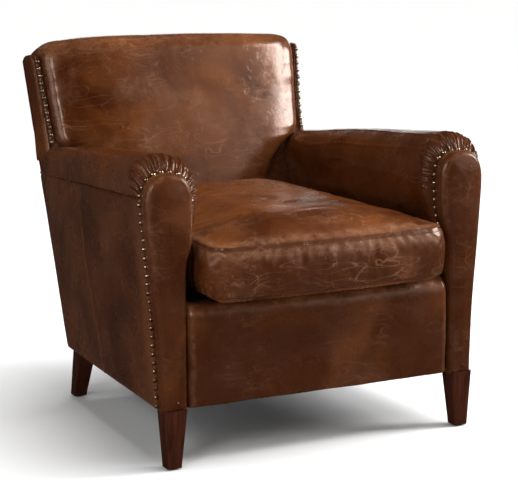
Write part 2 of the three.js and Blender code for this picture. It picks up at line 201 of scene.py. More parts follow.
# ---- Materials ----
class Nodes:
    """Builds a material's node tree with short calls."""

    def __init__(self, name):
        self.material = bpy.data.materials.new(name)
        self.material.use_nodes = True
        self.tree = self.material.node_tree
        self.shader = self.tree.nodes["Principled BSDF"]
        self.place = self.node("TexCoord").outputs["Object"]

    def node(self, kind, inputs=None, **settings):
        made = self.tree.nodes.new("ShaderNode" + kind)
        for key, value in settings.items():
            setattr(made, key, value)
        for key, value in (inputs or {}).items():
            self.set(made.inputs[key], value)
        return made

    def set(self, socket, value):
        if isinstance(value, bpy.types.NodeSocket):
            self.tree.links.new(value, socket)
        else:
            socket.default_value = value

    def math(self, operation, *values, clamp=False):
        made = self.node("Math", operation=operation, use_clamp=clamp)
        for socket, value in zip(made.inputs, values):
            self.set(socket, value)
        return made.outputs[0]

    def times(self, a, b):
        return self.math("MULTIPLY", a, b)

    def off_middle(self, noise):
        """How far a noise value is from its middle."""
        return self.math("ABSOLUTE", self.math("SUBTRACT", noise, 0.5))

    def noise(self, vector, scale, detail=3, roughness=0.5, distortion=0.0):
        inputs = {"Vector": vector, "Scale": scale, "Detail": detail, "Roughness": roughness}
        inputs["Distortion"] = distortion
        return self.node("TexNoise", inputs).outputs["Fac"]

    def stretch(self, vector, scale, rotation=(0, 0, 0)):
        return self.node("Mapping", {"Vector": vector, "Scale": scale, "Rotation": rotation}).outputs[0]

    def range(self, value, low, high, out_low=0.0, out_high=1.0):
        inputs = {"Value": value, "From Min": low, "From Max": high, "To Min": out_low, "To Max": out_high}
        return self.node("MapRange", inputs).outputs["Result"]

    def mix(self, factor, a, b):
        made = self.node("Mix", data_type="RGBA")
        for socket, value in zip((made.inputs[0], made.inputs[6], made.inputs[7]), (factor, a, b)):
            self.set(socket, value)
        return made.outputs[2]

    def blend(self, share, a, b):
        """A vector that lies a share of the way from a to b."""
        made = self.node("Mix", data_type="VECTOR")
        for socket, value in zip((made.inputs[0], made.inputs[4], made.inputs[5]), (share, a, b)):
            self.set(socket, value)
        return made.outputs[1]

    def bumps(self, *heights):
        """Normal from (height, distance in metres, strength) in order."""
        normal = None
        for height, distance, strength in heights:
            made = self.node("Bump", {"Height": height, "Distance": distance, "Strength": strength})
            if normal is not None:
                self.set(made.inputs["Normal"], normal)
            normal = made.outputs["Normal"]
        return normal

    def layer(self, name):
        return self.node("Attribute", attribute_name=name).outputs["Fac"]

    def surface(self, inputs):
        """Sets the shader's sockets, and gives the finished material."""
        for key, value in inputs.items():
            self.set(self.shader.inputs[key], value)
        return self.material


AMBER = (0.17, 0.048, 0.006, 1)
SMOKE = (0.115, 0.042, 0.022, 1)
WAX_TINT = (1.0, 0.64, 0.47, 1)
STAIN_TINT = (1.0, 0.6, 0.42, 1)
# Three sets of long scratches: how each is turned, and how its noise is stretched.
SCRATCHES = (((0.3, 0.5, 0.2), (6, 27, 27)), ((0.9, 0.2, 1.1), (7, 33, 33)), ((1.4, 0.8, 2.2), (9, 30, 30)))


def leather(
    name, dark, middle, light, crease=1.0, haze=0.3, gloss=(0.2, 0.38), rusty=0.7, coat=0.35, scratched=0.42
):
    """Waxed, worn pull-up leather. One layer lightens it, for rubbed wear and for painted highlights; the
    other shifts its colour, for the hide's own tone and for painted shade and painted reflected light.
    """
    n = Nodes(name)
    place = n.place
    wear_and_highlights = n.layer("wear_and_highlights")
    tone_and_shading = n.layer("tone_and_shading")

    clouds = n.noise(place, 4.5, 4, 0.5, 1.1)
    patches = n.noise(place, 17.0, 3, 0.5, 0.4)
    mottle = n.math("ADD", n.times(clouds, 0.84), n.times(patches, 0.16))
    # The tone layer shifts the mottle: the hide's own tone, and in some places painted shade and painted
    # reflected light.
    mottle = n.math("ADD", mottle, tone_and_shading)
    color = n.mix(n.range(mottle, 0.36, 0.62), dark, middle)
    rust = n.range(n.noise(place, 5.5, 3, 0.5, 0.9), 0.48, 0.68, 0.0, rusty)
    rust = n.times(rust, n.range(mottle, 0.4, 0.55))
    color = n.mix(rust, color, AMBER)
    smoky = n.range(n.noise(place, 6.5, 4, 0.55, 0.7), 0.46, 0.7, 0.0, haze)
    color = n.mix(smoky, color, SMOKE)

    # Soft creases and long fine scratches, paler than the hide.
    turbulent = n.node("TexNoise", {"Vector": place, "Scale": 16.0, "Detail": 4.0}).outputs["Color"]
    bent, straighter = n.blend(0.07, place, turbulent), n.blend(0.018, place, turbulent)
    crack = n.range(n.off_middle(n.noise(bent, 44.0, 3, 0.6, 1.0)), 0.0, 0.028, 1.0, 0.0)
    crack = n.times(crack, n.range(n.noise(place, 11.0, 4, 0.6), 0.5, 0.66))
    scratch = 0.0
    for turn, scale in SCRATCHES:
        grain = n.noise(n.stretch(straighter, scale, turn), 1.0, 1.0, 0.4)
        scratch = n.math("MAXIMUM", scratch, n.range(n.off_middle(grain), 0.0, 0.009, 1.0, 0.0))
    scratch = n.times(scratch, n.range(n.noise(place, 7.0, 3), 0.42, 0.6))

    # The wear layer lightens the hide: rubbed wear, and in some places painted highlights.
    rubbed_and_highlit = n.times(wear_and_highlights, n.range(n.noise(place, 55.0, 5, 0.7), 0.36, 0.66, 0.1, 1.0))
    pale = n.math("ADD", n.times(crack, 0.14 * crease), n.times(scratch, scratched))
    pale = n.math("ADD", pale, rubbed_and_highlit, clamp=True)
    rough = n.range(n.noise(place, 14.0, 5, 0.65, 0.3), 0.3, 0.7, *gloss)
    pores = n.node("TexVoronoi", {"Vector": place, "Scale": 650.0}).outputs["Distance"]
    ripple = n.noise(place, 70.0, 5, 0.6, 0.6)
    normal = n.bumps(
        (ripple, 0.0012, 0.35 * crease),
        (n.math("SUBTRACT", 1.0, crack), 0.001, 0.35 * crease),
        (pores, 0.0002, 0.35),
    )
    looks = {
        "Base Color": n.mix(pale, color, light),
        "Roughness": n.math("ADD", rough, n.times(pale, 0.08)),
        "IOR": 1.45,
        "Specular Tint": WAX_TINT,
        "Coat Weight": coat,
        "Coat Roughness": 0.12,
        "Coat IOR": 1.4,
        "Normal": normal,
        "Coat Normal": normal,
    }
    return n.surface(looks)


def stained_wood(name, dark, light, roughness, coat):
    n = Nodes(name)
    place = n.place
    grain = n.noise(n.stretch(place, (60, 60, 5)), 2.2, 6, 0.62, 0.6)
    streak = n.noise(n.stretch(place, (240, 240, 9)), 1.6, 3, 0.5)
    share = n.math("ADD", n.times(grain, 0.7), n.times(streak, 0.3))
    looks = {
        "Base Color": n.mix(n.range(share, 0.36, 0.66), dark, light),
        "Roughness": n.range(streak, 0.3, 0.7, roughness - 0.06, roughness + 0.08),
        "Specular Tint": STAIN_TINT,
        "Coat Weight": coat,
        "Coat Roughness": 0.15,
        "Normal": n.bumps((share, 0.0004, 0.35)),
    }
    return n.surface(looks)


def woven(name, color, thread):
    """Plain cloth: two crossed sets of threads."""
    n = Nodes(name)
    place = n.place
    threads = {"Vector": place, "Scale": 1 / thread, "Distortion": 1.2}
    sets = [n.node("TexWave", threads, bands_direction=axis).outputs["Fac"] for axis in "XY"]
    weave = n.times(*sets)
    lint = n.noise(place, 40.0, 4, 0.6)
    lighter = tuple(min(1, 1.9 * c + 0.01) for c in color[:3]) + (1,)
    looks = {
        "Base Color": n.mix(n.times(weave, lint), color, lighter),
        "Roughness": 0.92,
        "Sheen Weight": 0.2,
        "Normal": n.bumps((weave, 0.0005, 0.6)),
    }
    return n.surface(looks)


def metal(name, bright, dull, roughness):
    n = Nodes(name)
    place = n.place
    tarnish = n.range(n.noise(place, 160.0, 4, 0.65), 0.38, 0.64)
    looks = {
        "Base Color": n.mix(tarnish, bright, dull),
        "Metallic": 1.0,
        "Roughness": n.range(tarnish, 0, 1, roughness, roughness + 0.25),
        "Normal": n.bumps((n.noise(place, 900.0, 3), 0.0002, 0.3)),
    }
    return n.surface(looks)


def plain(name, color, spread, roughness, scale):
    """A matte stuff whose colour wavers a little, with a fine pitted surface."""
    n = Nodes(name)
    place = n.place
    cloud = n.mix(n.noise(place, scale, 5, 0.6), color, spread)
    pits = n.bumps((n.noise(place, 20 * scale, 3), 0.0005, 0.4))
    return n.surface({"Base Color": cloud, "Roughness": roughness, "Normal": pits})


HIDE = leather(
    "hide", (0.045, 0.01, 0.0018, 1), (0.082, 0.0215, 0.0048, 1), (0.27, 0.12, 0.06, 1),
    crease=0.8, haze=0.25, rusty=0.25, scratched=0.16,
)
BACK_HIDE = leather(
    "back_hide", (0.045, 0.009, 0.0012, 1), (0.13, 0.038, 0.0095, 1), (0.3, 0.145, 0.08, 1),
    crease=0.6, haze=0.4, gloss=(0.17, 0.32), coat=0.45,
)
SEAT_HIDE = leather(
    "seat_hide", (0.055, 0.013, 0.003, 1), (0.15, 0.046, 0.014, 1), (0.4, 0.21, 0.12, 1),
    crease=1.4, rusty=0.45, coat=0.2, scratched=0.24,
)
THREAD = plain("thread", (0.06, 0.025, 0.012, 1), (0.11, 0.05, 0.025, 1), 0.7, 300.0)
BRASS = metal("nail_brass", (0.8, 0.6, 0.4, 1), (0.17, 0.09, 0.05, 1), 0.2)
STEEL = metal("spring_steel", (0.45, 0.46, 0.47, 1), (0.2, 0.2, 0.2, 1), 0.35)
LEG_WOOD = stained_wood("leg_wood", (0.016, 0.0025, 0.0008, 1), (0.066, 0.012, 0.003, 1), 0.38, 0.06)
HARDWOOD = stained_wood("hardwood", (0.32, 0.19, 0.09, 1), (0.55, 0.38, 0.22, 1), 0.65, 0.0)
PADDING = plain("padding", (0.7, 0.64, 0.46, 1), (0.82, 0.77, 0.6, 1), 0.95, 60.0)
BLACK_CLOTH = woven("black_cloth", (0.012, 0.012, 0.013, 1), 0.0012)
NYLON = plain("glide_nylon", (0.012, 0.011, 0.01, 1), (0.03, 0.028, 0.026, 1), 0.5, 200.0)


# ---- Arms ----
# Each key is a place in the arm's section, where its hide is nailed round the front panel, and how
# deep the hide's rounded front is there: (section x, z, nail x, z, depth).
ARM_KEYS = (
    (298, 120, 299, 120, 6), (298, 240, 299, 240, 6), (298, 333, 299, 333, 6), (298, 372, 299, 372, 7),
    (297, 404, 298, 404, 9), (290, 434, 294, 434, 12), (275, 462, 286, 461, 16), (265, 492, 283, 488, 20),
    (260, 528, 281.5, 522, 23), (260, 560, 282, 552, 26), (267, 590, 286, 574, 30),
    (284, 616, 297, 590, 33), (308, 631, 314, 597, 35), (335, 636, 334, 600, 36), (361, 632, 354, 598, 35),
    (381, 619, 370, 590, 33), (393, 602, 380, 576, 30), (398, 584, 386, 559, 25),
    (397, 568, 388, 545, 18), (392, 557, 388, 538, 9), (384, 551, 386, 534, 4),
)
ARM_PROFILE = spline(ARM_KEYS, 640)
NAIL_Y = -356  # depth at which the arm's hides are nailed round the panels
FACE_Y = -386  # face of the front panels
FACE_RADIUS = 12.0  # rounding of the face's rim


def arm_drop(z):
    """How much lower a point of the arm's section is at the back."""
    return 42 * ease(300, SEAM_Z, z) + 26 * ease(540, ROLL_Z, z)


def bend_arm(points):
    """Narrows and lowers a straight right arm towards the back."""
    x, y, z = np.moveaxis(points, -1, 0)
    share = (y - FRONT_Y) / ARM_REACH
    taper = lerp(8, 36, (x - ARM_INNER) / 68)
    arch = 7 * np.sin(np.pi * np.clip(share, 0, 1)) * ease(540, 630, z)
    overhang = np.clip(x - 391, 0, None) * ease(0.08, 0.65, share)
    return xyz(x - share * taper - overhang, y, z - share * arm_drop(z) + arch)


def raked(y, z):
    return y + RAKE * (z - BASE_Z)


def arm_rear(z, margin=3):
    """The rear end of the arm, just inside the outside back."""
    return raked(REAR_Y - margin, z - arm_drop(z))


def outside_x(z, share=1.0):
    """The outside face of the arm below its roll, for a share of the way from front to back."""
    front = ramp(z, (124, 364.5), (200, 367.5), (338, 374.5), (517, 389), (552, 391.5))
    rear = 367 + 26 * (z - BASE_Z) / (SEAM_Z - BASE_Z)
    return lerp(front, rear, ease(0, 0.7, share))


def pleats(arc, reach, seed):
    """How far pleats push the hide out, by distance round the nails and along the hide."""
    total = 0
    for pitch, weight, turn in ((16.6, 0.62, 0.0), (8.3, 0.38, 5.0)):
        rng = np.random.default_rng(seed + int(pitch))
        wander = perlin(xyz(arc / 26 + turn, reach * 0.9, seed), seed)
        phase = arc / pitch + 0.5 * wander
        number = np.floor(phase).astype(int) % 64
        length = rng.uniform(0.6, 1.5, 64)[number]
        depth = rng.uniform(0.35, 1.4, 64)[number]
        ridge = np.abs(np.sin(np.pi * phase)) ** 0.6
        total = total + weight * depth * (ridge - 0.74) * (1 - ease(0.6 * length, 1.3 * length, reach))
    return total * ease(0.08, 0.4, reach)


def arm_cover(side):
    section = ARM_PROFILE[:, None, 0:2]
    nail = ARM_PROFILE[:, None, 2:4]
    depth = ARM_PROFILE[:, None, 4]
    middle = np.stack([np.full(nail.shape[:2], ARM_MIDDLE), np.clip(nail[..., 1], 150, 545)], -1)
    tucked = nail + 9 * unit(middle - nail)
    turn = np.linspace(0, 1, 30)
    angle = turn * math.pi / 2
    flat = lerp(tucked, section, np.sin(angle)[None, :, None])
    front = xyz(flat[..., 0], NAIL_Y + 1 + depth * (1 - np.cos(angle)), flat[..., 1])
    along = np.linspace(0, 1, 46)[None, 1:] ** 1.3
    x, z = section[..., 0], section[..., 1]
    start = NAIL_Y + 1 + depth
    straight = xyz(x, lerp(start, arm_rear(z), along), z)
    grid = beside(front, straight)

    arc = arc_length(ARM_PROFILE[:, 2:4])
    gathered = ease(508, 572, ARM_PROFILE[:, 1]) * ease(4, 22, arc[-1] - arc)
    arc = np.broadcast_to(arc[:, None], grid.shape[:2])
    beyond = 1 + (straight[..., 1] - start) / 46
    reach = beside(np.broadcast_to(turn, front.shape[:2]), beyond)
    folds = pleats(arc, reach, 5 + side) * gathered[:, None]
    normal = grid_normals(grid, flip=True)
    slack = 1.6 * fractal(grid, 110, 31 + side) + 0.4 * fractal(grid, 34, 37 + side, 2)
    slack = slack * ease(0.6, 1.6, reach) * ease(0, 40, arc[-1] - arc)
    creases = 1.4 * bump(perlin(grid / (90, 260, 60), 3 + side), 0.1, 0.09) * ease(1.1, 2.5, reach)
    grid = grid + normal * (10.5 * folds + slack - creases)[..., None]
    # The pleats' ridges are lighter: partly rubbed wear, partly painted highlights on the ridges.
    wear_and_highlights = 0.5 * np.clip(folds * 3, 0, 1) + 0.2 * ease(0.35, 1.0, fractal(grid, 70, 9, 2))
    tone_and_shading = 0.04 * ease(560, ROLL_Z, grid[..., 2]) - 0.13 * bump(reach, 0.6, 0.6) * gathered[:, None]
    return hide_object("arm_hide", side, bend_arm(grid), side < 0, wear_and_highlights, tone_and_shading)


PANEL_OUTLINE = (
    (306, 120), (305, 150), (303, 300), (301, 395), (298, 424), (292, 441), (287, 458), (285, 480),
    (284, 520), (285, 552), (291, 574), (302, 588), (317, 595), (335, 597.5), (353, 595), (368, 587),
    (378, 573), (383.5, 553), (384.5, 530), (382, 493), (374, 394), (363, 273), (357, 150), (356, 120),
)


def drawn_in(outline, middle, share, y):
    """An upright outline at depth y, drawn in by a share of the way to its middle."""
    at = lerp(outline, middle, share[:, None])
    return xyz(at[:, 0], y, at[:, 1])


def arm_front(side):
    """The padded panel nailed on the front of the arm, wrapped back to the nails."""
    outline = spline(PANEL_OUTLINE, 330)
    foot = np.stack([np.linspace(356, 306, 30)[1:-1], np.full(28, 118.0)], -1)
    outline = np.vstack([outline, foot])
    spine_z = np.clip(outline[:, 1], outline[:, 1].min() + 24, outline[:, 1].max() - 50)
    spine = np.stack([ramp(outline[:, 1], (120, 331), (400, 338), (600, 335)), spine_z], -1)
    distance = np.linalg.norm(outline - spine, axis=1)
    radius = FACE_RADIUS
    rows = [(-1.6 * math.sin(math.pi * (y + 346) / -40), y) for y in (-346, -353, -360, -367, -373)]
    for angle in np.linspace(0.15, 1.45, 10):
        rows.append((radius * (1 - math.cos(angle)), FACE_Y + radius - radius * math.sin(angle)))
    grid = [drawn_in(outline, spine, inward / distance, y) for inward, y in rows]
    start = radius / distance
    for t in np.linspace(0, 1, 24) ** 0.9:
        share = lerp(start, 1, t)
        swell = 5.0 * (1 - np.exp(-(share - start) * distance / 18))
        grid.append(drawn_in(outline, spine, share, FACE_Y - swell))
    grid = np.array(grid)
    inward = np.linalg.norm(grid[..., ::2] - outline[None, :, :], axis=-1)
    grid[..., 1] += 1.1 * fractal(grid, 70, 40 + side) * ease(2, 20, inward)
    grid[..., 1] += 1.2 * perlin(grid / (13, 200, 50), 46) * (1 - ease(125, 175, grid[..., 2]))
    grid = beside(grid, grid[:, :1])
    row = np.arange(len(grid))[:, None]
    # The rounded rim is lighter, most at the top: partly rubbed edge, partly a painted highlight along the
    # edge.
    rim = np.where(row < 5, 0.15, 0.0) + 0.32 * bump(row, 10, 4)
    wear_and_highlights = rim * ease(380, 560, grid[..., 2]) + 0.15 * rim
    tone_and_shading = 0.12 * ease(400, 580, grid[..., 2]) - 0.19
    return hide_object("arm_front", side, grid, side > 0, wear_and_highlights, tone_and_shading)


def seam_line(z):
    """How far back the upright seam of the outside arm is."""
    return ramp(z, (124, -40), (195, -23), (280, 0), (350, 26), (410, 37), (535, 43))


def turned_edge(edge, radius, turn, way):
    """Carries an upright edge round a corner, backwards for way 1 and forwards for way -1."""
    x = edge[..., 0] - radius * (1 - np.cos(turn))
    y = edge[..., 1] + way * radius * np.sin(turn)
    return xyz(x, y, edge[..., 2])


def outside_arm(side):
    """The flat outside of the arm: two hides joined by an upright seam."""
    z = np.concatenate([[125, 123, 124, 127, 132], np.linspace(140, 545, 80), [549, 552, 553]])
    inward = np.concatenate([[22, 8, 2.5, 0.6, 0], np.zeros(80), [1.5, 5, 10]])
    t = np.linspace(0, 1, 170)
    zz, tt = np.meshgrid(z, t, indexing="ij")
    front_radius, rear_radius = 7.0, 9
    rear = arm_rear(np.clip(zz, BASE_Z, SEAM_Z), 2)
    y = lerp(NAIL_Y + front_radius, rear - rear_radius, tt)
    rise = np.clip((zz - BASE_Z) / (SEAM_Z - BASE_Z), 0, 1)
    belly = 4.0 * np.sin(np.pi * rise) * np.sin(np.pi * tt) ** 0.6
    x = outside_x(zz, tt) - inward[:, None] + belly
    uneven = ease(0, 0.06, tt) * ease(BASE_Z, 175, zz)
    x = x + 1.3 * fractal(xyz(x, y, zz), 150, 52 + side) * uneven
    gap = y - seam_line(zz)
    x = x - 2.2 * bump(gap, 0, 2.4) + 1.2 * ease(-3, 3, gap) * (1 - ease(3, 26, gap))
    x = x + 0.5 * perlin(xyz(gap / 60, 0, zz / 11), 61) * bump(gap, 0, 12)
    grid = xyz(x, y, zz)

    turn = np.linspace(math.pi / 2, 0, 8)[:-1]
    front = turned_edge(grid[:, :1], front_radius, turn, -1)
    rear_turn = turned_edge(grid[:, -1:], rear_radius, turn[::-1], 1)
    tuck = front[:, :1] + np.array([-9.0, 1.5, 0])
    end = rear_turn[:, -1:] + np.array([-8.0, 0.5, 0])
    whole = beside(tuck, front, grid, rear_turn, end)
    gap = whole[..., 1] - seam_line(whole[..., 2])
    strip = bump(whole[..., 1], NAIL_Y + 14, 20)
    tone_and_shading = np.where(gap < 0, -0.1, 0.03) + 0.24 * strip
    wear_and_highlights = 0.12 * bump(gap, 4, 3) + 0.1 * strip + 0.25 * bump(whole[..., 2], 125, 6)
    return hide_object("outside_arm_hide", side, bend_arm(whole), side > 0, wear_and_highlights, tone_and_shading)


# ---- Nails and threads ----
NAIL_STRAY = 0.35  # how far a nail sits off its line


def ring_faces(rings, sides):
    """The faces between rings of points."""
    faces = []
    for start in range(0, (rings - 1) * sides, sides):
        for i in range(sides):
            j = (i + 1) % sides
            faces.append((start + i, start + j, start + sides + j, start + sides + i))
    return faces


def dome(radius=4.7, height=3.4, sides=14):
    """A nail head standing on the origin along +Z."""
    levels = ((1.0, -0.6), (1.0, 0.35), (0.93, 1.0), (0.78, 1.9), (0.5, 2.85), (0.22, 3.3))
    points = [
        (radius * r * math.cos(a), radius * r * math.sin(a), z * height / 3.4)
        for r, z in levels
        for a in np.arange(sides) * 2 * math.pi / sides
    ]
    points.append((0, 0, height))
    top = (len(levels) - 1) * sides
    cap = [(top + i, top + (i + 1) % sides, len(points) - 1) for i in range(sides)]
    return np.array(points), ring_faces(len(levels), sides) + cap


def basis(direction):
    """Columns x, y, z of a frame whose z follows a direction."""
    z = unit(direction)
    x = unit(np.cross((0.3, 0.9, 0.31), z))
    return np.column_stack([x, np.cross(z, x), z])


def scatter(name, shape, places, material):
    """One mesh of a shape repeated at places, each a point and the columns of a frame."""
    shape_points, shape_faces = shape
    points, faces = [], []
    for number, (point, turn) in enumerate(places):
        points.append(shape_points @ turn.T + point)
        faces += [tuple(i + number * len(shape_points) for i in face) for face in shape_faces]
    return mesh_object(name, np.vstack(points), faces, material)


def spaced(path, pitch, start=0.0, end=0.0):
    """Points at an even pitch along a path, less its ends."""
    along = arc_length(path)
    count = max(2, int(round((along[-1] - start - end) / pitch)) + 1)
    return resample(path, along, np.linspace(start, along[-1] - end, count))


def driven_nails(name, side, shape, spots, lean, seed):
    """Nails at (point, direction) spots, each a little off its line and leaning a little."""
    rng = np.random.default_rng(seed)
    places = []
    for spot, direction in spots:
        point = mirror(spot + rng.normal(0, NAIL_STRAY, 3), side)
        places.append((point, basis(mirror(direction + rng.normal(0, lean, 3), side))))
    return scatter(name + "_" + SIDE[side], shape, places, BRASS)


def arm_nails(side):
    line = ARM_PROFILE[ARM_PROFILE[:, 1] > 338, 2:4]
    last = np.argmax(line[:, 0])
    drop_z = np.linspace(line[last, 1] - 6, 130, 60)
    drop = np.stack([outside_x(drop_z, 0) - 3.0, drop_z], -1)
    places = spaced(np.vstack([line[:last], drop]), pitch=17.6)
    centre = np.stack([np.full(len(places), ARM_MIDDLE), np.clip(places[:, 1], 330, 545)], -1)
    lean = 0.45 * unit(places - centre)
    spots = [(xyz(x, NAIL_Y - 0.5, z), xyz(to_x, -1, to_z)) for (x, z), (to_x, to_z) in zip(places, lean)]
    return driven_nails("arm_nails", side, dome(), spots, 0.1, 70 + side)


def stitch(length=3.4, radius=0.55):
    """A short thread that lies along X and bows out along Z."""
    rings = ((-0.5, -0.5, 0.5), (-0.32, 0.25, 0.95), (0, 0.5, 1), (0.32, 0.25, 0.95), (0.5, -0.5, 0.5))
    points = [
        (length * x, radius * r * math.cos(a), radius * (lift + r * math.sin(a)))
        for x, lift, r in rings
        for a in np.arange(5) * 2 * math.pi / 5
    ]
    return np.array(points), ring_faces(len(rings), 5)


def stitches(name, path, outward, pitch=4.6):
    """A row of stitches along a path, with an outward direction at each of its points."""
    along = arc_length(path)
    rows = resample(np.column_stack([path, outward]), along, np.arange(pitch / 2, along[-1], pitch))
    places = []
    for here, ahead in zip(rows, rows[1:]):
        x = unit(ahead[:3] - here[:3])
        z = unit(here[3:] - x * (here[3:] @ x))
        places.append((here[:3], np.column_stack([x, np.cross(z, x), z])))
    return scatter(name, stitch(), places, THREAD)


# ---- Back ----
# The section of the inside back at its sides, before the rake: (y, z).
BACK_KEYS = (
    (182, 345), (181, 400), (180, 480), (180, 560), (177, 640), (172, 710), (169, 756),
    (169, 776), (175, 790), (188, 797), (206, 796), (226, 786), (242, 771),
)
BACK_CROWN = 36  # how far the middle of the back stands proud of its sides
TRENCH = (6, 20)  # how far behind the back's face the nailed strip down its edge starts and ends
BACK_NAIL_WAY = np.array([0.8, -0.75, 0.1])  # the way its nails stand out
# The strip's section: how far in from the back's edge, and how far behind its face.
STRIP = ((64, 40), (40, 30), (20, 24), (10, 13), (5, 10), (0.5, 15), (-2, 22), (4, 30))


def back_face(z):
    """How far back the front of the inside back is at its sides, before the rake."""
    path = spline(BACK_KEYS, 300)
    rising = path[: np.argmax(path[:, 1])]
    return np.interp(z, rising[:, 1], rising[:, 0])


def back_half(z, y):
    """Half the width of the inside back, which is tucked in below the arms' tops."""
    tucked = ramp(z, (345, 213), (440, 216), (474, 227), (510, 253), (545, 290), (566, 316), (588, 326))
    return tucked - BACK_HALF + edge_half(z, y)


def edge_half(z, y):
    """Half the width of the back's outside, above and behind the arms."""
    flare = ramp(z, (560, 0.42), (REAR_TOP, 0.2))
    return BACK_HALF + 0.0777 * np.clip(z - 600, 0, None) + flare * np.clip(y - 196, 0, None)


def back_surface(path, across):
    """Points of the inside back for a section path and a share of its half width."""
    y = path[:, None, 0]
    z = path[:, None, 1]
    share = np.abs(across)[None, :]
    half = back_half(z, y)
    fill = np.clip((212 - y) / 24, 0, 1)
    crown = BACK_CROWN * (1 - share**3.6) * fill
    low = 1 - ease(552, 604, z)
    edge = np.clip((share - lerp(0.925, 0.84, low)) / lerp(0.075, 0.16, low), 0, 1)
    round_back = lerp(30, 52, low) * quarter(edge) * np.clip(fill + 0.2, 0, 1)
    x = across[None, :] * (half - 10)
    top = ease(600, BACK_TOP, z)
    lift = (TOP_CROWN - 13 * share**2.5 - 4.5 * across[None, :]) * top
    rim = np.clip((share - 0.84) / 0.16, 0, 1)
    corner = 34 * quarter(rim) * ease(740, BACK_TOP, z)
    return xyz(x, raked(y - crown + round_back, z), z + lift - corner)


def back_hide():
    path = spline(BACK_KEYS, 150)
    a = np.linspace(-1, 1, 201)
    across = np.sign(a) * (1 - (1 - np.abs(a)) ** 1.25)
    grid = back_surface(path, across)
    normal = grid_normals(grid, flip=True)
    share = np.abs(across)[None, :]
    slack = 2.2 * fractal(grid, 190, 81, 2) + 0.3 * fractal(grid, 45, 84, 2)
    soft = 1 - ease(0.93, 1.0, share)
    z = grid[..., 2]
    gather = 0.9 * perlin(grid / (34, 200, 240), 86) * bump(share, 0.9, 0.07) * ease(480, 560, z)
    side_gather = 1.4 * perlin(grid / (300, 200, 24), 87) * bump(share, 0.93, 0.06) * ease(620, 700, z)
    grid = grid + normal * (slack * soft + gather + side_gather * soft)[..., None]
    wear_and_highlights = 0.32 * ease(0.1, 0.9, fractal(grid, 120, 91)) + 0.35 * bump(share, 0.95, 0.035)
    wear_and_highlights = wear_and_highlights + 0.2 * ease(760, 800, grid[..., 2])
    # Painted light: the back is lighter towards +X, a painted reflection of the key light's sheen, and
    # darker near its -X edge below the top, painted shade.
    tone_and_shading = 0.1 * ease(-0.3, 0.6, across)[None, :] - 0.05
    tone_and_shading = tone_and_shading - 0.14 * bump(grid[..., 0], -330, 90) * (1 - ease(760, 800, grid[..., 2]))
    sides = []
    for edge, step in ((0, -1), (-1, 1)):
        rim = grid[:, edge]
        deep = rim - np.array([1.5 * step, 0, 0])
        deep[:, 1] += lerp(8, 70, 1 - ease(560, 600, rim[:, 2]))
        deep[:, 1] = np.minimum(deep[:, 1], raked(REAR_Y - 12, rim[:, 2]))
        sides.append(deep[:, None])
    whole = beside(sides[0], grid, sides[1])
    pad = ((0, 0), (1, 1))
    layers = {"wear_and_highlights": np.pad(wear_and_highlights, pad, mode="edge"), "tone_and_shading": np.pad(tone_and_shading, pad, mode="edge")}
    return grid_object("back_hide", whole, BACK_HIDE, False, layers)


def trench(side):
    """The nailed strip between the inside back and its edge panel, painted dark as painted shade in its
    recess.
    """
    z = np.linspace(490, 780, 60)
    face = back_face(z)
    columns = []
    for inward, deep in STRIP:
        y = face + lerp(min(deep, 13), deep, ease(585, 612, z))
        columns.append(xyz(edge_half(z, y) - inward, raked(y, z), z))
    return hide_object("back_strip", side, np.stack(columns, axis=1), side > 0, tone_and_shading=-0.35)


def crevice(side):
    """The tucked part of the inside back, between its padding and the arm, painted dark as painted shade in
    the crevice.
    """
    z, x = np.meshgrid(np.linspace(322, 600, 40), np.linspace(190, 300, 18), indexing="ij")
    y = 190 + 1.2 * fractal(xyz(x, 0, z), 60, 99 + side, 2)
    return hide_object("back_tuck", side, xyz(x, raked(y, z), z), side < 0, tone_and_shading=-0.3)


def side_panel(side):
    """The narrow panel down the edge of the back, above the arm."""
    path = spline(BACK_KEYS, 400)
    front = path[path[:, 1] > 540]
    front = spline(front[: np.argmax(front[:, 1] > 778)][::4], 60)
    front[:, 0] += TRENCH[1]
    rows = len(front)
    rear = np.stack([np.full(rows, 243.0), np.linspace(540, 764, rows)], -1)
    t = np.linspace(0, 1, 26)
    flat = lerp(front[:, None], rear[:, None], t[None, :, None])
    y, z = flat[..., 0], flat[..., 1]
    top = np.linspace(0, 1, rows)[:, None] ** 14
    z = z + 9 * np.sin(np.pi * t)[None, :] * top
    swell = 3.2 * np.sin(np.pi * np.clip(t, 0.02, 0.98)) ** 0.5
    x = edge_half(z, y) + swell[None, :] + 1.0
    x = x + 0.8 * fractal(xyz(x, y, z), 60, 95 + side, 2)
    grid = xyz(x, raked(y, z), z)
    inner = grid[:, :1] + np.array([-8.0, 1.0, 0])
    outer = grid[:, -1:] + np.array([-8.0, 1.5, 0])
    lid = grid[-1:] + np.array([-9.0, 0, 1.5])
    grid = beside(inner, grid, outer)
    lid = beside(inner[-1:], lid, outer[-1:])
    under = lid + np.array([-17.0, 0, -8.0])
    grid = np.concatenate([grid, lid, under], axis=0)
    wear_and_highlights = 0.5 * bump(np.linspace(0, 1, grid.shape[1]), 0.12, 0.08)
    return hide_object("back_edge", side, grid, side > 0, wear_and_highlights, -0.03)


def back_nails(side):
    z = np.linspace(562, 770, 80)
    y = back_face(z) + sum(TRENCH) / 2
    line = xyz(edge_half(z, y) - 3.0, raked(y, z) - 2.0, z)
    spots = [(nail, BACK_NAIL_WAY) for nail in spaced(line, pitch=17.5, start=6, end=2)]
    return driven_nails("back_nails", side, dome(radius=5.6, height=4.2), spots, 0.12, 77 + side)


